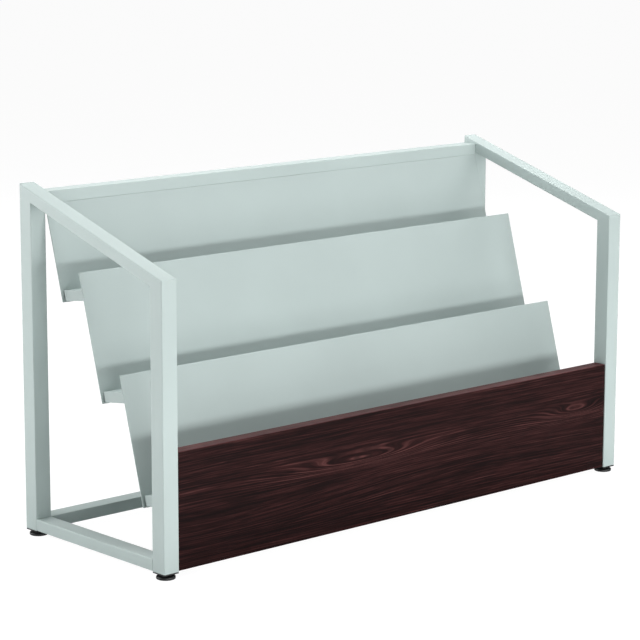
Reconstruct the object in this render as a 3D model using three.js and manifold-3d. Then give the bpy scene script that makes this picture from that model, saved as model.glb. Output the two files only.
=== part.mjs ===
// Low open newspaper rack: two tube side frames, two rear cross rails, three leaning
// sheet shelves joined by box ledges, a wooden front board and four levelling feet.
// Millimetres. +Z up, +X to the right, the front faces -Y, the floor is Z = 0.
import * as THREE from 'three';
import { mergeVertices } from 'three/addons/utils/BufferGeometryUtils.js';
import Module from 'manifold-3d';

const wasm = await Module();
wasm.setup();

// ---- driving dimensions -------------------------------------------------------------
const WIDTH = 1060;           // over the two side frames
const DEPTH = 370;            // front face of the front posts to back face of the rear posts
const REAR_HEIGHT = 580;      // frame bottom to the back top corner
const FRONT_HEIGHT = 467;     // frame bottom to the front top corner
const POST = 30;              // square post section
const RAIL = 20;              // rails are 30 wide and 20 high
const WALL = 1.5;             // tube wall
const FOOT_HEIGHT = 11;       // floor to frame bottom with the feet screwed right in
const GAP = 0.3;              // clearance between touching pieces
const SHEET = 2;              // shelf sheet

const LEAN = THREE.MathUtils.degToRad(15.6);      // shelves lean back from the vertical
const LEDGE_RISE = THREE.MathUtils.degToRad(7.5); // ledges rise towards the front
const LEDGE_HEIGHT = 19;      // along Z, at either side of a ledge
const LEDGE_INSET = 4;        // ledge ends stop short of the shelf ends
const END_LIP = 1;            // a ledge's end plates stand this far above its floor
const END_SETBACK = 2.2;      // and this far clear of the sheets on either side
const REAR_TOP_RAIL_TOP = 567;

const BOARD_THICKNESS = 25;
const BOARD_SETBACK = 1.5;    // front face of the board behind the post faces
const BOARD_BOTTOM = 0.5;
const BOARD_TOP = 193;

// Shelves: y and z of the top front edge, and z of the bottom edge, from the frame's
// front bottom corner. The rear shelf hangs from the rear top rail.
const SHELVES = [
  { tier: 'rear', topY: DEPTH - POST, topZ: REAR_TOP_RAIL_TOP - RAIL - GAP, bottomZ: 389 },
  { tier: 'middle', topY: 251, topZ: 443.5, bottomZ: 237 },
  { tier: 'front', topY: 146.6, topZ: 291, bottomZ: 85 },
];

const STUD_RADIUS = 4;
const STUD_LENGTH = 32;
const PAD_RADIUS = 15.5;
const PAD_HEIGHT = 6;
const PLUG_FLANGE = 2.5;
const PLUG_REVEAL = 0.5;      // the flange stops this far inside the post's faces
const PLUG_JOIN = 0.5;        // the plug's body runs this far into its flange
const PLUG_DEPTH = 22;

// ---- materials ----------------------------------------------------------------------
const finish = (color, roughness, metalness) =>
  new THREE.MeshStandardMaterial({ color, roughness, metalness });
const COATED = () => finish(0xc3d2cd, 0.45, 0.1);
const WOOD = () => finish(0x34201f, 0.5, 0);
const BLACK_PLASTIC = () => finish(0x17181a, 0.55, 0);
const ZINC = () => finish(0xb4b8ba, 0.35, 0.9);

// ---- solids -------------------------------------------------------------------------
function toSolid(geometry) {
  const bare = geometry.clone();
  bare.deleteAttribute('normal');
  bare.deleteAttribute('uv');
  const welded = mergeVertices(bare, 1e-4);
  return new wasm.Manifold(new wasm.Mesh({
    numProp: 3,
    vertProperties: new Float32Array(welded.attributes.position.array),
    triVerts: new Uint32Array(welded.index.array),
  }));
}

function toGeometry(solid) {
  const mesh = solid.getMesh();
  const geometry = new THREE.BufferGeometry();
  geometry.setAttribute('position', new THREE.BufferAttribute(mesh.vertProperties, 3));
  geometry.setIndex(new THREE.BufferAttribute(mesh.triVerts, 1));
  const split = geometry.toNonIndexed();
  split.computeVertexNormals();
  return split;
}

// A side-view outline of [y, z] points, extruded along X from x0 to x1. The outline is
// measured from the frame's front bottom corner, and the result is in the part's frame.
function sideExtrusion(points, x0, x1) {
  const shape = new THREE.Shape(points.map(([y, z]) => new THREE.Vector2(y, z)));
  const geometry = new THREE.ExtrudeGeometry(shape, { depth: x1 - x0, bevelEnabled: false });
  const axes = new THREE.Matrix4().makeBasis(
    new THREE.Vector3(0, 1, 0), new THREE.Vector3(0, 0, 1), new THREE.Vector3(1, 0, 0));
  geometry.applyMatrix4(axes);
  geometry.translate(x0, -DEPTH / 2, FOOT_HEIGHT);
  return geometry;
}

function roundBar(radius, length, segments = 24) {
  return new THREE.CylinderGeometry(radius, radius, length, segments);
}

// A pin or hole along one axis, with its middle at the given point.
function pinAlong(axis, radius, length, middle, segments = 24) {
  const geometry = roundBar(radius, length, segments);
  if (axis === 'x') geometry.rotateZ(Math.PI / 2);
  if (axis === 'z') geometry.rotateX(Math.PI / 2);
  geometry.translate(...middle);
  return geometry;
}

// ---- scene --------------------------------------------------------------------------
const rack = new THREE.Group();
rack.name = 'newspaper_rack';

function addPiece(name, geometry, material) {
  const mesh = new THREE.Mesh(geometry, material);
  mesh.name = name;
  rack.add(mesh);
}

const SIDES = [
  { side: 'left', sign: -1 },
  { side: 'right', sign: 1 },
];
const INNER_X = WIDTH / 2 - POST;

// ---- side frames --------------------------------------------------------------------
const SLOPE = (REAR_HEIGHT - FRONT_HEIGHT) / DEPTH;
const TOP_RAIL_DROP = RAIL * Math.hypot(1, SLOPE);      // rail height measured vertically
const railTopAt = (y) => FRONT_HEIGHT + SLOPE * y;
const railUnderAt = (y) => railTopAt(y) - TOP_RAIL_DROP;

// Side-view outlines. The posts run down to the feet, and the top rail meets them in mitres.
function sideOutlines() {
  const along = GAP / Math.hypot(1, SLOPE);
  const back = DEPTH;
  const backIn = DEPTH - POST;
  return {
    front_post: [[0, 0], [POST, 0], [POST, railUnderAt(POST) - GAP], [0, railTopAt(0) - GAP]],
    rear_post: [[backIn, 0], [back, 0], [back, railTopAt(back) - GAP], [backIn, railUnderAt(backIn) - GAP]],
    bottom_rail: [[POST + GAP, 0], [backIn - GAP, 0], [backIn - GAP, RAIL], [POST + GAP, RAIL]],
    top_rail: [
      [along, railTopAt(along)],
      [POST + along, railUnderAt(POST + along)],
      [backIn - along, railUnderAt(backIn - along)],
      [back - along, railTopAt(back - along)],
    ],
  };
}

// Bores of the tubes, in the same view, running past both ends.
function boreOutlines() {
  const past = 60;
  const upright = (y) => [[y + WALL, -past], [y + POST - WALL, -past],
    [y + POST - WALL, REAR_HEIGHT + past], [y + WALL, REAR_HEIGHT + past]];
  const wallDrop = WALL * Math.hypot(1, SLOPE);
  const y0 = -past;
  const y1 = DEPTH + past;
  return {
    front_post: upright(0),
    rear_post: upright(DEPTH - POST),
    bottom_rail: [[y0, WALL], [y1, WALL], [y1, RAIL - WALL], [y0, RAIL - WALL]],
    top_rail: [[y0, railUnderAt(y0) + wallDrop], [y1, railUnderAt(y1) + wallDrop],
      [y1, railTopAt(y1) - wallDrop], [y0, railTopAt(y0) - wallDrop]],
  };
}

const DOWEL_RADIUS = 4;
const DOWEL_LENGTH = 44;
const DOWEL_HEIGHTS = [48, 146];          // above the frame bottom
const DOWEL_Y = BOARD_SETBACK + BOARD_THICKNESS / 2 - DEPTH / 2;

function dowelMiddles(sign) {
  const intoPost = 14;
  const x = sign * (INNER_X - DOWEL_LENGTH / 2 + intoPost);
  return DOWEL_HEIGHTS.map((height) => [x, DOWEL_Y, FOOT_HEIGHT + height]);
}

function buildSideFrame({ side, sign }) {
  const outer = sideOutlines();
  const bores = boreOutlines();
  const low = sign < 0 ? -WIDTH / 2 : INNER_X;
  for (const piece of Object.keys(outer)) {
    let solid = toSolid(sideExtrusion(outer[piece], low, low + POST));
    const bore = toSolid(sideExtrusion(bores[piece], low + WALL, low + POST - WALL));
    solid = solid.subtract(bore);
    if (piece === 'front_post') {
      for (const middle of dowelMiddles(sign)) {
        const hole = pinAlong('x', DOWEL_RADIUS + GAP, DOWEL_LENGTH, middle);
        solid = solid.subtract(toSolid(hole));
      }
    }
    addPiece(`${side}_${piece}`, toGeometry(solid), COATED());
  }
}

// ---- rear cross rails ---------------------------------------------------------------
const FLANGE_SCREW_X = [-390, -130, 130, 390];
const SCREW_RADIUS = 2;
const SCREW_LENGTH = 12;

function crossRail(name, bottomZ, screwXs) {
  const y0 = DEPTH - POST;
  const box = [[y0, bottomZ], [DEPTH, bottomZ], [DEPTH, bottomZ + RAIL], [y0, bottomZ + RAIL]];
  const bore = [[y0 + WALL, bottomZ + WALL], [DEPTH - WALL, bottomZ + WALL],
    [DEPTH - WALL, bottomZ + RAIL - WALL], [y0 + WALL, bottomZ + RAIL - WALL]];
  const reach = INNER_X - GAP;
  let solid = toSolid(sideExtrusion(box, -reach, reach));
  solid = solid.subtract(toSolid(sideExtrusion(bore, -WIDTH, WIDTH)));
  for (const x of screwXs) {
    const middle = [x, DEPTH / 2 - POST / 2, FOOT_HEIGHT + bottomZ];
    solid = solid.subtract(toSolid(pinAlong('z', SCREW_RADIUS + GAP, 4 * WALL, middle)));
  }
  addPiece(name, toGeometry(solid), COATED());
}

// ---- shelves and ledges -------------------------------------------------------------
const TAN = Math.tan(LEAN);
const faceY = (shelf, z) => shelf.topY - (shelf.topZ - z) * TAN;   // front face of a shelf
const SHEET_ACROSS = SHEET / Math.cos(LEAN);                       // sheet measured along Y

function shelfOutline(shelf) {
  const { topZ, bottomZ } = shelf;
  const front = (z) => [faceY(shelf, z), z];
  const back = (z) => [faceY(shelf, z) + SHEET_ACROSS, z];
  if (shelf.tier !== 'rear') return [front(bottomZ), back(bottomZ), back(topZ), front(topZ)];
  const flangeEnd = DEPTH - WALL;
  const under = topZ - SHEET;
  return [front(bottomZ), back(bottomZ), back(under), [flangeEnd, under], [flangeEnd, topZ], front(topZ)];
}

function buildShelf(shelf) {
  const reach = INNER_X - GAP;
  let solid = toSolid(sideExtrusion(shelfOutline(shelf), -reach, reach));
  if (shelf.tier === 'rear') {
    for (const x of FLANGE_SCREW_X) {
      const middle = [x, DEPTH / 2 - POST / 2, FOOT_HEIGHT + shelf.topZ - SHEET / 2];
      solid = solid.subtract(toSolid(pinAlong('z', SCREW_RADIUS + GAP, 3 * SHEET, middle)));
    }
  }
  addPiece(`${shelf.tier}_shelf_panel`, toGeometry(solid), COATED());
}

// Side-view corners of a ledge, shrunk all round by an inset. It bridges from its shelf's
// front face to the back of the next shelf, or to the back of the front board.
function ledgeOutline(index, inset, lip = 0) {
  const shelf = SHELVES[index];
  const next = SHELVES[index + 1];
  const boardBack = BOARD_SETBACK + BOARD_THICKNESS;
  const rearY = (z) => faceY(shelf, z) - GAP - inset / Math.cos(LEAN);
  const frontY = (z) => (next ? faceY(next, z) + SHEET_ACROSS : boardBack) + GAP
    + (next ? inset / Math.cos(LEAN) : inset);
  const underZ = (y) => shelf.bottomZ + (faceY(shelf, shelf.bottomZ) - y) * Math.tan(LEDGE_RISE)
    + inset / Math.cos(LEDGE_RISE);
  const overZ = (y) => underZ(y) + LEDGE_HEIGHT + lip - 2 * inset / Math.cos(LEDGE_RISE);
  const corner = (sideY, sideZ) => {
    let y = sideY(shelf.bottomZ);
    for (let step = 0; step < 12; step += 1) y = sideY(sideZ(y));
    return [y, sideZ(y)];
  };
  return [corner(frontY, underZ), corner(rearY, underZ), corner(rearY, overZ), corner(frontY, overZ)];
}

const BOARD_SCREW_X = [-420, -140, 140, 420];
const BOARD_SCREW_LENGTH = 18;
const boardScrewZ = () => {
  const [frontUnder, , , frontOver] = ledgeOutline(2, 0);
  return FOOT_HEIGHT + (frontUnder[1] + frontOver[1]) / 2 - 1;
};
const BOARD_BACK_Y = BOARD_SETBACK + BOARD_THICKNESS - DEPTH / 2;

// A ledge is a folded channel, open underneath, with a plate across each end that stands a
// little above the ledge's floor.
function buildLedge(index) {
  const { tier } = SHELVES[index];
  const reach = INNER_X - LEDGE_INSET;
  const outer = ledgeOutline(index, 0);
  const [frontUnder, rearUnder, rearOver, frontOver] = ledgeOutline(index, SHEET);
  const openDown = [[frontUnder[0], frontUnder[1] - RAIL], [rearUnder[0], rearUnder[1] - RAIL],
    rearUnder, rearOver, frontOver, frontUnder];
  const channelReach = reach - SHEET - GAP;
  let solid = toSolid(sideExtrusion(outer, -channelReach, channelReach));
  solid = solid.subtract(toSolid(sideExtrusion(openDown, -WIDTH, WIDTH)));
  if (tier === 'front') {
    for (const x of BOARD_SCREW_X) {
      const hole = pinAlong('y', SCREW_RADIUS + GAP, 4 * SHEET, [x, BOARD_BACK_Y, boardScrewZ()]);
      solid = solid.subtract(toSolid(hole));
    }
  }
  addPiece(`${tier}_ledge`, toGeometry(solid), COATED());
  const plate = ledgeOutline(index, END_SETBACK, END_LIP + END_SETBACK);
  for (const { side, sign } of SIDES) {
    const x0 = sign < 0 ? -reach : reach - SHEET;
    addPiece(`${tier}_ledge_end_${side}`, sideExtrusion(plate, x0, x0 + SHEET), COATED());
  }
}

// ---- front board and its hidden dowels ----------------------------------------------
function buildBoard() {
  const back = BOARD_SETBACK + BOARD_THICKNESS;
  const outline = [[BOARD_SETBACK, BOARD_BOTTOM], [back, BOARD_BOTTOM],
    [back, BOARD_TOP], [BOARD_SETBACK, BOARD_TOP]];
  const reach = INNER_X - GAP;
  let solid = toSolid(sideExtrusion(outline, -reach, reach));
  for (const { sign } of SIDES) {
    for (const middle of dowelMiddles(sign)) {
      solid = solid.subtract(toSolid(pinAlong('x', DOWEL_RADIUS + GAP, DOWEL_LENGTH + 1, middle)));
    }
  }
  for (const x of BOARD_SCREW_X) {
    const middle = [x, BOARD_BACK_Y, boardScrewZ()];
    solid = solid.subtract(toSolid(pinAlong('y', SCREW_RADIUS + GAP, 2 * BOARD_SCREW_LENGTH, middle)));
  }
  addPiece('front_board', toGeometry(solid), WOOD());
}

function buildDowels({ side, sign }) {
  const names = ['lower', 'upper'];
  dowelMiddles(sign).forEach((middle, index) => {
    addPiece(`board_dowel_${side}_${names[index]}`,
      pinAlong('x', DOWEL_RADIUS, DOWEL_LENGTH, middle), ZINC());
  });
}

// ---- screws -------------------------------------------------------------------------
// A pan-head screw on its own axis, pointing up +Y, with the underside of its head at 0.
function panScrew(length) {
  const headRadius = 4;
  const headHeight = 2.4;
  const profile = [[0, -headHeight], [headRadius * 0.7, -headHeight], [headRadius, -headHeight * 0.45],
    [headRadius, 0], [SCREW_RADIUS, 0], [SCREW_RADIUS, length - 2], [0, length]];
  return new THREE.LatheGeometry(profile.map(([r, y]) => new THREE.Vector2(r, y)), 24);
}

function buildFlangeScrews() {
  const headZ = FOOT_HEIGHT + SHELVES[0].topZ - SHEET - GAP;
  FLANGE_SCREW_X.forEach((x, index) => {
    const screw = panScrew(SCREW_LENGTH).rotateX(Math.PI / 2);
    screw.translate(x, DEPTH / 2 - POST / 2, headZ);
    addPiece(`rail_screw_${index + 1}`, screw, ZINC());
  });
}

function buildBoardScrews() {
  const headY = BOARD_BACK_Y + GAP + SHEET + GAP;
  BOARD_SCREW_X.forEach((x, index) => {
    const screw = panScrew(BOARD_SCREW_LENGTH).rotateX(Math.PI);
    screw.translate(x, headY, boardScrewZ());
    addPiece(`board_screw_${index + 1}`, screw, ZINC());
  });
}

// ---- levelling feet -----------------------------------------------------------------
// Each foot is a square plug driven into the post, a threaded stud, and a round pad.
function plugSolid() {
  const square = (size, y0, y1) => new THREE.BoxGeometry(size, size, y1 - y0).translate(0, 0, (y0 + y1) / 2);
  const flange = square(POST - 2 * PLUG_REVEAL, -PLUG_FLANGE - GAP, -GAP);
  const body = square(POST - 2 * WALL - 2 * GAP, -GAP - PLUG_JOIN, PLUG_DEPTH);
  const bore = pinAlong('z', STUD_RADIUS + GAP, 4 * PLUG_DEPTH, [0, 0, 0]);
  return toSolid(flange).add(toSolid(body)).subtract(toSolid(bore));
}

function padSolid() {
  const floorZ = -FOOT_HEIGHT;
  const profile = [[0, floorZ], [PAD_RADIUS - 1, floorZ], [PAD_RADIUS, floorZ + 1],
    [PAD_RADIUS, floorZ + PAD_HEIGHT - 2], [PAD_RADIUS - 2.5, floorZ + PAD_HEIGHT - 0.4],
    [STUD_RADIUS + 2, floorZ + PAD_HEIGHT], [0, floorZ + PAD_HEIGHT]];
  const body = new THREE.LatheGeometry(profile.map(([r, y]) => new THREE.Vector2(r, y)), 40);
  const socketDepth = 4;
  const socket = pinAlong('z', STUD_RADIUS + GAP, 2 * socketDepth, [0, 0, floorZ + PAD_HEIGHT]);
  return toSolid(body.rotateX(Math.PI / 2)).subtract(toSolid(socket));
}

function buildFeet() {
  const plug = toGeometry(plugSolid());
  const pad = toGeometry(padSolid());
  const studBottom = -FOOT_HEIGHT + 2 + GAP;
  const stud = pinAlong('z', STUD_RADIUS, STUD_LENGTH, [0, 0, studBottom + STUD_LENGTH / 2]);
  for (const { side, sign } of SIDES) {
    for (const [end, y] of [['front', POST / 2 - DEPTH / 2], ['rear', DEPTH / 2 - POST / 2]]) {
      const place = [sign * (WIDTH - POST) / 2, y, FOOT_HEIGHT];
      addPiece(`${end}_${side}_foot_plug`, plug.clone().translate(...place), BLACK_PLASTIC());
      addPiece(`${end}_${side}_foot_stud`, stud.clone().translate(...place), ZINC());
      addPiece(`${end}_${side}_foot_pad`, pad.clone().translate(...place), BLACK_PLASTIC());
    }
  }
}

// ---- assembly -----------------------------------------------------------------------
SIDES.forEach(buildSideFrame);
crossRail('rear_bottom_rail', 0, []);
crossRail('rear_top_rail', REAR_TOP_RAIL_TOP - RAIL, FLANGE_SCREW_X);
SHELVES.forEach(buildShelf);
SHELVES.forEach((shelf, index) => buildLedge(index));
buildBoard();
SIDES.forEach(buildDowels);
buildFlangeScrews();
buildBoardScrews();
buildFeet();

export default rack;
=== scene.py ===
"""Low open newspaper rack: powder-coated tube frame, leaning sheet shelves, dark wood board."""
import math

import bmesh
import bpy
from mathutils import Matrix, Vector


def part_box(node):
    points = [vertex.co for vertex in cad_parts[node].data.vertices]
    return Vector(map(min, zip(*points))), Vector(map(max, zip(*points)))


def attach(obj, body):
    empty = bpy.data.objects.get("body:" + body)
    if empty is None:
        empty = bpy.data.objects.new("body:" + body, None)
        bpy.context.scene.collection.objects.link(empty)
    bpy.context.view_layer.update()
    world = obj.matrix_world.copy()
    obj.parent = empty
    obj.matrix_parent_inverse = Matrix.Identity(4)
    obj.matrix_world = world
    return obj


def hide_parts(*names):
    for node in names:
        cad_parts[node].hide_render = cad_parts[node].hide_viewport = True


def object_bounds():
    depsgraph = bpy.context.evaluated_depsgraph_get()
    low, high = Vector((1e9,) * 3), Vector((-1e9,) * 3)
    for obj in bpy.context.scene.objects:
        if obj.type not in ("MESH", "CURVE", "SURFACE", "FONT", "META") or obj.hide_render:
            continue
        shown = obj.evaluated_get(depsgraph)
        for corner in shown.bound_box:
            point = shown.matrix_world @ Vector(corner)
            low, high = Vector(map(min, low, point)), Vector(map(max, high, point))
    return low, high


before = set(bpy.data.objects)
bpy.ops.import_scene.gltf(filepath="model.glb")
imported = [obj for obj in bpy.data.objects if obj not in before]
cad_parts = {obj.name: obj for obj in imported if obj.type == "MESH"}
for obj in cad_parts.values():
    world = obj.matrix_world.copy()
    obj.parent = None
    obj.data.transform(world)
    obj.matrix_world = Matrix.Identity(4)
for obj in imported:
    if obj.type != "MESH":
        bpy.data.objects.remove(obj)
CAD_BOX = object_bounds()

MM = 0.001
SIDES = ("left", "right")
ENDS = ("front", "rear")
TIERS = ("rear", "middle", "front")


# ---- node materials ------------------------------------------------------------------
OBJECT_OUTPUT = 3  # of a Texture Coordinate node
MIX_A, MIX_B, MIX_RESULT = 6, 7, 2  # a Mix node's colour sockets


class Nodes:
    """A short way to write a node tree: each call adds a node and returns its first output."""

    def __init__(self, name):
        self.material = bpy.data.materials.new(name)
        self.material.use_nodes = True
        self.tree = self.material.node_tree
        self.tree.nodes.clear()

    def add(self, kind, inputs=None, out=0, **settings):
        node = self.tree.nodes.new(kind)
        for key, value in settings.items():
            setattr(node, key, value)
        for key, value in (inputs or {}).items():
            if isinstance(value, bpy.types.NodeSocket):
                self.tree.links.new(value, node.inputs[key])
            else:
                node.inputs[key].default_value = value
        return node.outputs[out]

    def math(self, operation, a, b=0.0):
        return self.add("ShaderNodeMath", {0: a, 1: b}, operation=operation)

    def ramp(self, factor, stops):
        out = self.add("ShaderNodeValToRGB", {"Fac": factor})
        elements = out.node.color_ramp.elements
        while len(elements) < len(stops):
            elements.new(0.5)
        for element, (position, colour) in zip(elements, stops):
            element.position = position
            element.color = (*colour, 1.0)
        return out

    def mix(self, factor, a, b):
        inputs = {"Factor": factor, MIX_A: a, MIX_B: b}
        return self.add("ShaderNodeMix", inputs, out=MIX_RESULT, data_type="RGBA")

    def noise(self, vector, scale, detail=4.0, roughness=0.5):
        inputs = {"Vector": vector, "Scale": scale, "Detail": detail, "Roughness": roughness}
        return self.add("ShaderNodeTexNoise", inputs)

    def place(self, scale=(1, 1, 1)):
        coordinates = self.add("ShaderNodeTexCoord", out=OBJECT_OUTPUT)
        return self.add("ShaderNodeMapping", {"Vector": coordinates, "Scale": scale})

    def bump(self, height, strength, distance):
        return self.add("ShaderNodeBump", {"Height": height, "Strength": strength, "Distance": distance})

    def finish(self, **sockets):
        shader = self.add("ShaderNodeBsdfPrincipled", {k.replace("_", " "): v for k, v in sockets.items()})
        self.add_output(shader)
        return self.material

    def add_output(self, shader):
        output = self.tree.nodes.new("ShaderNodeOutputMaterial")
        self.tree.links.new(shader, output.inputs["Surface"])


def powder_coat(name, colour):
    """Satin powder coat: a fine orange peel, faint tone drift and slightly uneven gloss."""
    n = Nodes(name)
    drift = n.noise(n.place(), 5.0, 3.0)
    speck = n.noise(n.place(), 2600.0, 1.0)
    tone = n.math("ADD", n.math("MULTIPLY", drift, 0.7), n.math("MULTIPLY", speck, 0.3))
    darker = tuple(0.955 * c for c in colour)
    lighter = tuple(min(1.0, 1.04 * c) for c in colour)
    base = n.ramp(tone, [(0.32, darker), (0.68, lighter)])
    peel = n.noise(n.place(), 720.0, 2.0, 0.55)
    gloss = n.add("ShaderNodeMapRange", {"Value": drift, "To Min": 0.40, "To Max": 0.50})
    return n.finish(
        Base_Color=base, Roughness=gloss, Specular_IOR_Level=0.3, Normal=n.bump(peel, 0.16, 0.0002))


RINGS_PER_METRE = 240.0
LEVEL_WANDER = 0.020       # m, how far the grain drifts up or down along the board
STRONG_PUSH = 0.018        # m, an eye that pushes the grain further shows its rings more
LATE_WEIGHT = 0.17         # what each layer of grain adds to the tone
BROAD_WEIGHT = 0.16
STREAK_WEIGHT = 0.33
FINE_WEIGHT = 0.51
PORE_DEPTH = 0.6           # how far a pore takes the colour towards PORE_COLOUR
PORE_COLOUR = (0.0035, 0.0010, 0.0011, 1)
HIGHLIGHT_START, HIGHLIGHT_FULL = 1.0 * MM, 0.5 * MM  # painted highlight: starts and is full this far below the board's top edge


def stained_wood(board_low, board_high):
    """Dark stained veneer: grain that flows round cathedral eyes, open pores, and a painted highlight on
    the top edge.
    """
    n = Nodes("stained_wood")
    middle = (board_low + board_high) / 2
    place = n.add("ShaderNodeTexCoord", out=OBJECT_OUTPUT)
    parts = n.add("ShaderNodeSeparateXYZ", {0: place}).node.outputs
    along, across, height = parts["X"], parts["Y"], parts["Z"]
    wander = n.math("SUBTRACT", n.noise(n.place((1.6, 1.0, 5.0)), 1.0, 2.0, 0.4), 0.5)
    flow = n.math("ADD", height, n.math("MULTIPLY", wander, LEVEL_WANDER))
    near_eye = 0.0
    for at, above, long, tall, push in GRAIN_EYES:
        mound = grain_mound(n, along, height, at, middle.z + above, long, tall)
        flow = n.math("ADD", flow, n.math("MULTIPLY", mound, push))
        if abs(push) > STRONG_PUSH:
            wide = grain_mound(n, along, height, at, middle.z + above, 1.5 * long, 1.5 * tall)
            near_eye = n.math("ADD", wide, near_eye)
    grain = n.add("ShaderNodeCombineXYZ", {"X": along, "Y": across, "Z": flow})

    def stretched(scale, detail, roughness):
        lengthwise = n.add("ShaderNodeMapping", {"Vector": grain, "Scale": scale})
        return n.noise(lengthwise, 1.0, detail, roughness)

    waver = stretched((5.0, 60.0, 60.0), 3.0, 0.6)
    rings = n.math("ADD", n.math("MULTIPLY", flow, RINGS_PER_METRE), waver)
    late = n.ramp(n.math("FRACT", rings), [
        (0.0, (0, 0, 0)),
        (0.42, (0.05, 0.05, 0.05)),
        (0.68, (1, 1, 1)),
        (0.84, (0.8, 0.8, 0.8)),
        (1.0, (0, 0, 0)),
    ])
    cloud = stretched((1.8, 20.0, 26.0), 2.0, 0.5)
    patch = n.ramp(cloud, [(0.42, (0.1, 0.1, 0.1)), (0.66, (0.6, 0.6, 0.6))])
    late = n.math("MULTIPLY", late, n.math("ADD", patch, near_eye))
    broad = stretched((1.1, 30.0, 32.0), 3.0, 0.55)
    streak = stretched((2.6, 110.0, 250.0), 3.0, 0.62)
    fine = stretched((9.0, 260.0, 560.0), 3.0, 0.7)
    tone = n.math("MULTIPLY", late, LATE_WEIGHT)
    tone = n.math("ADD", tone, n.math("MULTIPLY", broad, BROAD_WEIGHT))
    tone = n.math("ADD", tone, n.math("MULTIPLY", streak, STREAK_WEIGHT))
    tone = n.math("ADD", tone, n.math("MULTIPLY", fine, FINE_WEIGHT))
    colour = n.ramp(tone, [
        (0.42, (0.0040, 0.0009, 0.0010)),
        (0.51, (0.0145, 0.0036, 0.0036)),
        (0.60, (0.0310, 0.0090, 0.0088)),
        (0.74, (0.0950, 0.0340, 0.0320)),
    ])
    # Painted highlight: the top face and upper arris get a paler colour that stands in for the light from
    # above.
    painted_highlight = n.ramp(tone, [(0.38, (0.0370, 0.0125, 0.0130)), (0.62, (0.1030, 0.0390, 0.0400))])
    top = n.add("ShaderNodeMapRange", {
        "Value": height, "From Min": board_high.z - HIGHLIGHT_START, "From Max": board_high.z - HIGHLIGHT_FULL})
    colour = n.mix(top, colour, painted_highlight)
    pore = stretched((20.0, 400.0, 600.0), 1.0, 0.5)
    pore = n.ramp(pore, [(0.33, (0, 0, 0)), (0.45, (1, 1, 1))])
    in_pore = n.math("MULTIPLY", n.math("SUBTRACT", 1.0, pore), PORE_DEPTH)
    colour = n.mix(in_pore, colour, PORE_COLOUR)
    relief = n.math("ADD", n.math("MULTIPLY", pore, 0.6), n.math("MULTIPLY", fine, 0.4))
    gloss = n.add("ShaderNodeMapRange", {"Value": fine, "To Min": 0.34, "To Max": 0.5})
    return n.finish(
        Base_Color=colour, Roughness=gloss, Specular_IOR_Level=0.05, Normal=n.bump(relief, 0.3, 0.0003))


def grain_mound(n, along, height, at, level, long, tall):
    """A soft mound from 0 to 1 round one place in the grain, much longer than it is tall."""
    x = n.math("DIVIDE", n.math("SUBTRACT", along, at), long)
    z = n.math("DIVIDE", n.math("SUBTRACT", height, level), tall)
    away = n.math("ADD", n.math("MULTIPLY", x, x), n.math("MULTIPLY", z, z))
    return n.math("POWER", math.e, n.math("MULTIPLY", away, -1.0))


def moulded_plastic():
    """Black moulded plastic with a fine spark-eroded texture."""
    n = Nodes("black_plastic")
    drift = n.noise(n.place(), 60.0, 3.0)
    base = n.ramp(drift, [(0.3, (0.006, 0.006, 0.007)), (0.7, (0.016, 0.016, 0.017))])
    grain = n.noise(n.place(), 2400.0, 2.0)
    gloss = n.add("ShaderNodeMapRange", {"Value": drift, "To Min": 0.42, "To Max": 0.6})
    return n.finish(Base_Color=base, Roughness=gloss, Normal=n.bump(grain, 0.25, 0.0002))


def zinc_plate():
    """Bright zinc plating with faint cloudy patches."""
    n = Nodes("zinc_plate")
    cloud = n.noise(n.place(), 90.0, 4.0, 0.6)
    base = n.ramp(cloud, [(0.3, (0.42, 0.43, 0.44)), (0.7, (0.62, 0.63, 0.63))])
    gloss = n.add("ShaderNodeMapRange", {"Value": cloud, "To Min": 0.24, "To Max": 0.42})
    scratch = n.noise(n.place((40.0, 40.0, 900.0)), 3.0, 2.0)
    return n.finish(Base_Color=base, Metallic=1.0, Roughness=gloss, Normal=n.bump(scratch, 0.08, 0.0001))


# centre along the board, centre above its middle, half length, half height, push (m)
GRAIN_EYES = (
    (-0.105, 0.020, 0.150, 0.0125, 0.023),
    (0.420, 0.022, 0.085, 0.0130, 0.019),
    (-0.400, -0.040, 0.240, 0.0340, 0.014),
    (0.180, -0.030, 0.260, 0.0300, -0.012),
)
FRAME_COLOUR = (0.420, 0.494, 0.482)
# Painted shade: the shelves carry the frame's powder coat made darker, standing in for the shade in the
# pockets.
SHELF_SHADED_COLOUR = (0.374, 0.440, 0.430)
FRAME_COAT = powder_coat("frame_powder_coat", FRAME_COLOUR)
SHELF_SHADED_COAT = powder_coat("shelf_powder_coat_painted_shade", SHELF_SHADED_COLOUR)
WOOD = stained_wood(*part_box("front_board"))
PLASTIC = moulded_plastic()
ZINC = zinc_plate()


# ---- meshes --------------------------------------------------------------------------
FLAT_ANGLE = math.radians(1.0)
SHARP_ANGLE = math.radians(42.0)
CORNER_ANGLE = math.radians(25.0)
JOIN_DISTANCE = 0.01 * MM
NORMAL_WEIGHT = 80
EASE_SEGMENTS = 3
TUBE_SEGMENTS = 5
LONG_SHARE = 0.8           # a tube's corner counts as long from this share of its longest
SHORTEST_EASED = 8 * MM    # shorter corners of a sheet stay sharp
TOUCH = 0.05 * MM


def new_piece(name, mesh_builder, material, body, slot, *nodes):
    """Turns a bmesh into a piece that rides on a body and stands for CAD nodes."""
    mesh = bpy.data.meshes.new(name)
    mesh_builder.to_mesh(mesh)
    mesh_builder.free()
    piece = bpy.data.objects.new(name, mesh)
    bpy.context.scene.collection.objects.link(piece)
    mesh.materials.append(material)
    smooth_faces(piece)
    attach(piece, body)
    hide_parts(*nodes)


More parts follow.
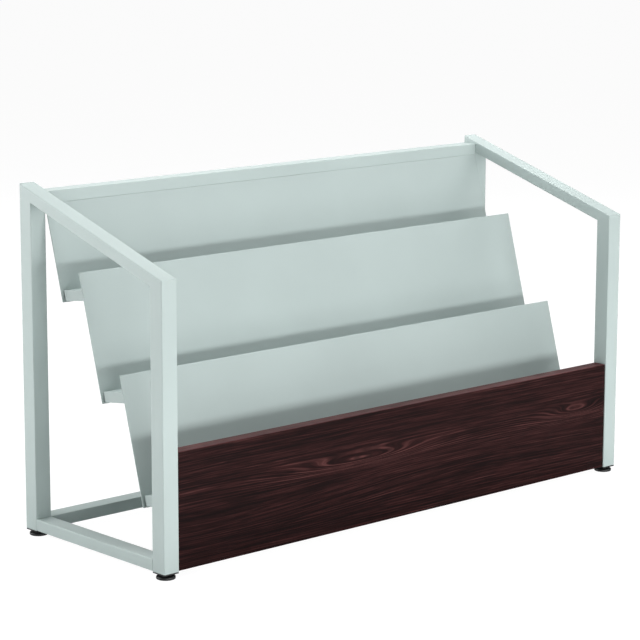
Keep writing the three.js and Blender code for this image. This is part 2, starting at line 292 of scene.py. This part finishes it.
def smooth_faces(piece):
    """Smooth shading across eased edges, with large faces kept flat."""
    mesh = piece.data
    for polygon in mesh.polygons:
        polygon.use_smooth = True
    mesh.set_sharp_from_angle(angle=SHARP_ANGLE)
    modifier = piece.modifiers.new("weighted", "WEIGHTED_NORMAL")
    modifier.keep_sharp = True
    modifier.weight = NORMAL_WEIGHT
    bpy.context.view_layer.objects.active = piece
    with bpy.context.temp_override(object=piece, active_object=piece, selected_objects=[piece]):
        bpy.ops.object.modifier_apply(modifier="weighted")


def cad_mesh(node):
    """The CAD node's mesh as a bmesh in the row frame, with its flat faces joined up."""
    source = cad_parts[node]
    work = bmesh.new()
    work.from_mesh(source.data)
    work.transform(source.matrix_world)
    bmesh.ops.remove_doubles(work, verts=work.verts, dist=JOIN_DISTANCE)
    bmesh.ops.dissolve_limit(
        work, angle_limit=FLAT_ANGLE, use_dissolve_boundaries=False, verts=work.verts, edges=work.edges)
    bmesh.ops.recalc_face_normals(work, faces=work.faces)
    return work


def corner_edges(work, pick):
    """Convex edges sharper than CORNER_ANGLE that pick accepts, given both ends."""
    found = []
    for edge in work.edges:
        if len(edge.link_faces) != 2 or not edge.is_convex:
            continue
        if edge.calc_face_angle(0.0) < CORNER_ANGLE:
            continue
        a, b = (vertex.co for vertex in edge.verts)
        if pick(a, b):
            found.append(edge)
    return found


def ease(work, edges, radius):
    """Rounds edges off by a radius, less where they would run into each other."""
    bmesh.ops.bevel(
        work, geom=edges, offset=radius, offset_type="OFFSET", segments=EASE_SEGMENTS, profile=0.5,
        affect="EDGES", clamp_overlap=True)


def on_box(point, low, high, axes):
    """Whether a point lies on the box's low or high face along every given axis."""
    return all(min(abs(point[k] - low[k]), abs(point[k] - high[k])) < TOUCH for k in axes)


def open_socket(work, top):
    """Hollows a post out to its wall from its foot up to a height, as the plug and stud need."""
    bmesh.ops.recalc_face_normals(work, faces=work.faces)
    work.normal_update()
    bottom = min(vertex.co.z for vertex in work.verts)
    sole = next(f for f in work.faces if all(v.co.z - bottom < TOUCH for v in f.verts))
    bmesh.ops.inset_individual(work, faces=[sole], thickness=TUBE_WALL, use_even_offset=True)
    roof = bmesh.ops.extrude_discrete_faces(work, faces=[sole])["faces"][0]
    bmesh.ops.translate(work, vec=(0, 0, top - bottom), verts=list(roof.verts))


def eased_tube(node, outline, low_x, high_x, radius, socket_top=None):
    """A tube from its (y, z) outline, run along X, with its longest corners rounded."""
    work = bmesh.new()
    loops = [[work.verts.new((x, y, z)) for y, z in outline] for x in (low_x, high_x)]
    count = len(outline)
    work.faces.new(loops[0])
    work.faces.new(loops[1])
    for k in range(count):
        m = (k + 1) % count
        work.faces.new((loops[0][k], loops[0][m], loops[1][m], loops[1][k]))
    if socket_top is not None:
        open_socket(work, socket_top)
    bmesh.ops.recalc_face_normals(work, faces=work.faces)
    longest = max(edge.calc_length() for edge in work.edges)
    long_edges = [edge for edge in work.edges if edge.calc_length() > LONG_SHARE * longest]
    bmesh.ops.bevel(
        work, geom=long_edges, offset=radius, offset_type="OFFSET", segments=TUBE_SEGMENTS, profile=0.5,
        affect="EDGES", clamp_overlap=False)
    new_piece(f"{node}_tube", work, FRAME_COAT, "root", "frame_steel", node)


def eased_sheet(node, name, radius, material, slot):
    """A sheet, plate or plug of the root body with every long straight corner rounded off."""
    work = cad_mesh(node)
    ease(work, corner_edges(work, lambda a, b: (a - b).length > SHORTEST_EASED), radius)
    new_piece(name, work, material, "root", slot, node)


# ---- frame ---------------------------------------------------------------------------
POST_CORNER = 1.6 * MM
TUBE_WALL = 1.5 * MM
STUD_CLEARANCE = 5 * MM    # above a stud, inside its post
CROSS_RAIL_CORNER = 0.9 * MM


def rail_line(side, top):
    """Height of a sloping top rail's upper or lower face at any y, read off its outer face."""
    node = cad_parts[f"{side}_top_rail"]
    low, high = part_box(f"{side}_top_rail")
    outer = low.x if side == "left" else high.x
    points = [node.matrix_world @ vertex.co for vertex in node.data.vertices]
    points = sorted((p for p in points if abs(p.x - outer) < TOUCH), key=lambda p: p.z)
    front = [p for p in points if p.y < 0]
    rear = [p for p in points if p.y > 0]
    a, b = (front[-1], rear[-1]) if top else (front[0], rear[0])
    return lambda y: a.z + (b.z - a.z) * (y - a.y) / (b.y - a.y)


def side_frame(side):
    """Two posts, a sloping top rail met in flush mitres, and a bottom rail between the posts."""
    upper, lower = rail_line(side, True), rail_line(side, False)
    front_low, front_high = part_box(f"{side}_front_post")
    rear_low, rear_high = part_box(f"{side}_rear_post")
    rail_low, rail_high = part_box(f"{side}_bottom_rail")
    y0, y1, y2, y3 = front_low.y, front_high.y, rear_low.y, rear_high.y
    outlines = {
        "front_post": ((y0, front_low.z), (y1, front_low.z), (y1, lower(y1)), (y0, upper(y0))),
        "rear_post": ((y2, rear_low.z), (y3, rear_low.z), (y3, upper(y3)), (y2, lower(y2))),
        "top_rail": ((y0, upper(y0)), (y1, lower(y1)), (y2, lower(y2)), (y3, upper(y3))),
        "bottom_rail": ((y1, rail_low.z), (y2, rail_low.z), (y2, rail_high.z), (y1, rail_high.z)),
    }
    sockets = {f"{end}_post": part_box(f"{end}_{side}_foot_stud")[1].z + STUD_CLEARANCE for end in ENDS}
    for part, outline in outlines.items():
        eased_tube(f"{side}_{part}", outline, front_low.x, front_high.x, POST_CORNER, sockets.get(part))


def cross_rail(node, bottom):
    """A level rail between the two side frames, whose underside is at the height given."""
    low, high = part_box(node)
    outline = ((low.y, bottom), (high.y, bottom), (high.y, high.z), (low.y, high.z))
    eased_tube(node, outline, low.x, high.x, CROSS_RAIL_CORNER)


for side in SIDES:
    side_frame(side)
cross_rail("rear_bottom_rail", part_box("rear_bottom_rail")[0].z)
cross_rail("rear_top_rail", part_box("rear_shelf_panel")[1].z)

# ---- shelves and ledges --------------------------------------------------------------
SHEET_EDGE = 0.4 * MM
PLATE_EDGE = 0.6 * MM
for tier in TIERS:
    eased_sheet(f"{tier}_shelf_panel", f"{tier}_shelf_sheet", SHEET_EDGE, SHELF_SHADED_COAT, "shelf_steel")
    eased_sheet(f"{tier}_ledge", f"{tier}_ledge_channel", SHEET_EDGE, SHELF_SHADED_COAT, "shelf_steel")
    for side in SIDES:
        node = f"{tier}_ledge_end_{side}"
        eased_sheet(node, f"{node}_plate", PLATE_EDGE, SHELF_SHADED_COAT, "shelf_steel")


# ---- front board ---------------------------------------------------------------------
BOARD_ARRIS = 1.0 * MM
SHORTEST_ARRIS = 20 * MM


def front_board():
    """The board with its long arrises and ends eased."""
    low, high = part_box("front_board")
    work = cad_mesh("front_board")

    def arris(a, b):
        return on_box(a, low, high, (1, 2)) and on_box(b, low, high, (1, 2)) or (
            on_box(a, low, high, (0,)) and on_box(b, low, high, (0,)) and (a - b).length > SHORTEST_ARRIS)

    ease(work, corner_edges(work, arris), BOARD_ARRIS)
    new_piece("front_board_veneer", work, WOOD, "root", "board_wood", "front_board")


front_board()


# ---- feet ----------------------------------------------------------------------------
LATHE_SEGMENTS = 64
ARC_STEPS = 6
PLUG_EDGE = 0.6 * MM


def lathe(profile, centre):
    """A solid of revolution about Z from (radius, height) points that start and end on the axis."""
    work = bmesh.new()
    rings = []
    for radius, height in profile:
        if radius == 0:
            rings.append([work.verts.new((centre.x, centre.y, height))])
            continue
        turn = (math.tau * k / LATHE_SEGMENTS for k in range(LATHE_SEGMENTS))
        rings.append([
            work.verts.new((centre.x + radius * math.cos(a), centre.y + radius * math.sin(a), height))
            for a in turn])
    for lower, upper in zip(rings, rings[1:]):
        for k in range(LATHE_SEGMENTS):
            m = (k + 1) % LATHE_SEGMENTS
            corners = [
                lower[k % len(lower)], lower[m % len(lower)],
                upper[m % len(upper)], upper[k % len(upper)]]
            work.faces.new(list(dict.fromkeys(corners)))
    bmesh.ops.recalc_face_normals(work, faces=work.faces)
    return work


def arc(centre_r, centre_z, radius, start, stop):
    """Points of a quarter round or other arc, angles in degrees from +radius towards +Z."""
    angles = (math.radians(start + (stop - start) * k / ARC_STEPS) for k in range(ARC_STEPS + 1))
    return [(centre_r + radius * math.cos(a), centre_z + radius * math.sin(a)) for a in angles]


def glide_pad(node, body):
    """The round pad: a flat sole with a rounded rim, a shallow crown and a collar round the stud."""
    low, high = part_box(node)
    centre = (low + high) / 2
    outer = (high.x - low.x) / 2
    rim, crown, collar = 1.2 * MM, 1.6 * MM, 6.6 * MM
    shoulder = high.z - 1.3 * MM
    socket, socket_floor = 4.3 * MM, high.z - 4 * MM
    profile = [(0, low.z)]
    profile += arc(outer - rim, low.z + rim, rim, -90, 0)
    profile += arc(outer - crown, shoulder - crown, crown, 0, 80)
    profile += [(collar + 1 * MM, shoulder + 0.1 * MM), (collar, high.z - 0.35 * MM)]
    profile += [(collar - 0.4 * MM, high.z), (socket, high.z), (socket, socket_floor), (0, socket_floor)]
    new_piece(f"{body}_glide", lathe(profile, centre), PLASTIC, body, "foot_plastic", node)


def threaded_stud(node, body):
    """The stud with a helical thread of the M8 pitch between plain ends."""
    low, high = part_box(node)
    centre = (low + high) / 2
    crest = (high.x - low.x) / 2
    pitch, depth, end = 1.25 * MM, 0.6 * MM, 0.8 * MM
    around, rows_per_turn = 32, 8
    step = pitch / rows_per_turn
    rows = round((high.z - low.z) / step)
    work = bmesh.new()
    rings = []
    for row in range(rows + 1):
        height = low.z + (high.z - low.z) * row / rows
        ring = []
        for k in range(around):
            phase = (height / pitch - k / around) % 1.0
            tooth = abs(2.0 * phase - 1.0)
            fade = min(1.0, (height - low.z) / end, (high.z - height) / end)
            radius = crest - depth * (1.0 - tooth * fade)
            angle = math.tau * k / around
            ring.append(work.verts.new((
                centre.x + radius * math.cos(angle), centre.y + radius * math.sin(angle), height)))
        rings.append(ring)
    for lower, upper in zip(rings, rings[1:]):
        for k in range(around):
            m = (k + 1) % around
            work.faces.new((lower[k], lower[m], upper[m], upper[k]))
    work.faces.new(list(reversed(rings[0])))
    work.faces.new(rings[-1])
    new_piece(f"{body}_threaded_stud", work, ZINC, body, "plated_steel", node)


for end in ENDS:
    for side in SIDES:
        foot = f"{end}_{side}_foot"
        eased_sheet(f"{foot}_plug", f"{foot}_plug_moulding", PLUG_EDGE, PLASTIC, "foot_plastic")
        threaded_stud(f"{foot}_stud", foot)
        glide_pad(f"{foot}_pad", foot)

# ---- fixings that stay as the CAD made them ------------------------------------------
for name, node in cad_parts.items():
    if "screw" in name or "dowel" in name:
        for material_slot in node.material_slots:
            material_slot.material = ZINC


# ---- stage ---------------------------------------------------------------------------
# name, place, size along and across, watts; a card lies on the floor and faces up
LIGHTS = (
    ("front_card", (0.0, -0.75, 0.01), (1.6, 0.6), 2.0),
    ("left_card", (-1.6, -0.3, 0.01), (1.4, 1.6), 3.5),
    ("front_strip", (-0.35, -2.6, 0.18), (2.8, 0.34), 46.0),
    ("front_right_strip", (2.6, -2.8, 0.55), (2.4, 1.0), 12.0),
    ("front_right_softbox", (2.4, -2.2, 2.0), (2.2, 1.4), 29.0),
    ("rear_left_softbox", (-2.4, 2.2, 1.0), (1.6, 1.4), 75.0),
    ("rear_right_softbox", (2.0, 2.4, 1.9), (2.4, 1.2), 20.0),
    ("right_softbox", (2.2, 0.3, 2.2), (1.6, 1.6), 8.0),
    ("top_softbox", (0.0, 0.0, 3.0), (2.4, 2.0), 100.0),
)
FLOOR_SIZE = 40.0
FLOOR_DROP = 0.02 * MM
FLOOR_GLOW = 0.96
FLOOR_VEIL = (0.12, 0.12, 0.12, 1)
FLOOR_BOUNCE = (0.8, 0.8, 0.8, 1)
WORLD_LIGHT, WORLD_SEEN = 0.02, 1.0
AIM_HEIGHT = 0.3
# metres back from the rack's middle, across to the right and up
CAMERA_PLACE = (4.27222, -0.02682, 0.02741)
CAMERA_BEARING, CAMERA_TILT, CAMERA_ROLL = 42.10, 10.898, 0.136  # degrees
CAMERA_LENS, CAMERA_SENSOR = 138.27, 36.0  # mm


def stage_floor():
    """A wide pale floor that looks nearly white and sends back a real floor's share of the light."""
    work = bmesh.new()
    bmesh.ops.create_grid(work, x_segments=1, y_segments=1, size=FLOOR_SIZE)
    mesh = bpy.data.meshes.new("studio_floor")
    work.to_mesh(mesh)
    work.free()
    floor = bpy.data.objects.new("studio_floor", mesh)
    bpy.context.scene.collection.objects.link(floor)
    floor.location.z = CAD_BOX[0].z - FLOOR_DROP
    n = Nodes("studio_floor")
    glow = n.add("ShaderNodeEmission", {"Color": (1, 1, 1, 1), "Strength": FLOOR_GLOW})
    veil = n.add("ShaderNodeBsdfDiffuse", {"Color": FLOOR_VEIL})
    seen = n.add("ShaderNodeAddShader", {0: glow, 1: veil})
    bounce = n.add("ShaderNodeBsdfDiffuse", {"Color": FLOOR_BOUNCE})
    n.add_output(n.add("ShaderNodeMixShader", {0: n.add("ShaderNodeLightPath"), 1: bounce, 2: seen}))
    mesh.materials.append(n.material)


def soft_light(name, place, size, power):
    """A rectangular softbox aimed at the middle of the rack, or a card that faces straight up."""
    data = bpy.data.lights.new(name, "AREA")
    data.shape = "RECTANGLE"
    data.size, data.size_y = size
    data.energy = power
    light = bpy.data.objects.new(name, data)
    light.location = place
    aim = Vector((0, 0, 1)) if "card" in name else Vector((0, 0, AIM_HEIGHT)) - Vector(place)
    light.rotation_euler = aim.to_track_quat("-Z", "Y").to_euler()
    light.visible_camera = False
    bpy.context.scene.collection.objects.link(light)


def studio_world():
    """White surroundings for the camera, almost no light from them on the rack."""
    world = bpy.data.worlds.new("studio")
    bpy.context.scene.world = world
    world.use_nodes = True
    nodes, links = world.node_tree.nodes, world.node_tree.links
    background = nodes["Background"]
    strength = nodes.new("ShaderNodeMapRange")
    strength.inputs["To Min"].default_value = WORLD_LIGHT
    strength.inputs["To Max"].default_value = WORLD_SEEN
    links.new(nodes.new("ShaderNodeLightPath").outputs["Is Camera Ray"], strength.inputs["Value"])
    links.new(strength.outputs["Result"], background.inputs["Strength"])
    background.inputs["Color"].default_value = (1, 1, 1, 1)


def long_lens_camera():
    """A long lens from the front left, a little above the rack."""
    centre = (CAD_BOX[0] + CAD_BOX[1]) / 2
    bearing, tilt, roll = (math.radians(a) for a in (CAMERA_BEARING, CAMERA_TILT, CAMERA_ROLL))
    distance, across, above = CAMERA_PLACE
    forward = Vector((
        math.sin(bearing) * math.cos(tilt), math.cos(bearing) * math.cos(tilt), -math.sin(tilt)))
    right = Vector((math.cos(bearing), -math.sin(bearing), 0))
    up = right.cross(forward)
    data = bpy.data.cameras.new("camera")
    data.lens = CAMERA_LENS
    data.sensor_width = CAMERA_SENSOR
    camera = bpy.data.objects.new("camera", data)
    place = centre - forward * distance + right * across + up * above
    turn = Matrix((right, up, -forward)).transposed() @ Matrix.Rotation(roll, 3, "Z")
    camera.matrix_world = Matrix.Translation(place) @ turn.to_4x4()
    bpy.context.scene.collection.objects.link(camera)
    bpy.context.scene.camera = camera


stage_floor()
studio_world()
for name, place, size, power in LIGHTS:
    soft_light(name, place, size, power)
bpy.context.scene.view_settings.view_transform = "Standard"
long_lens_camera()
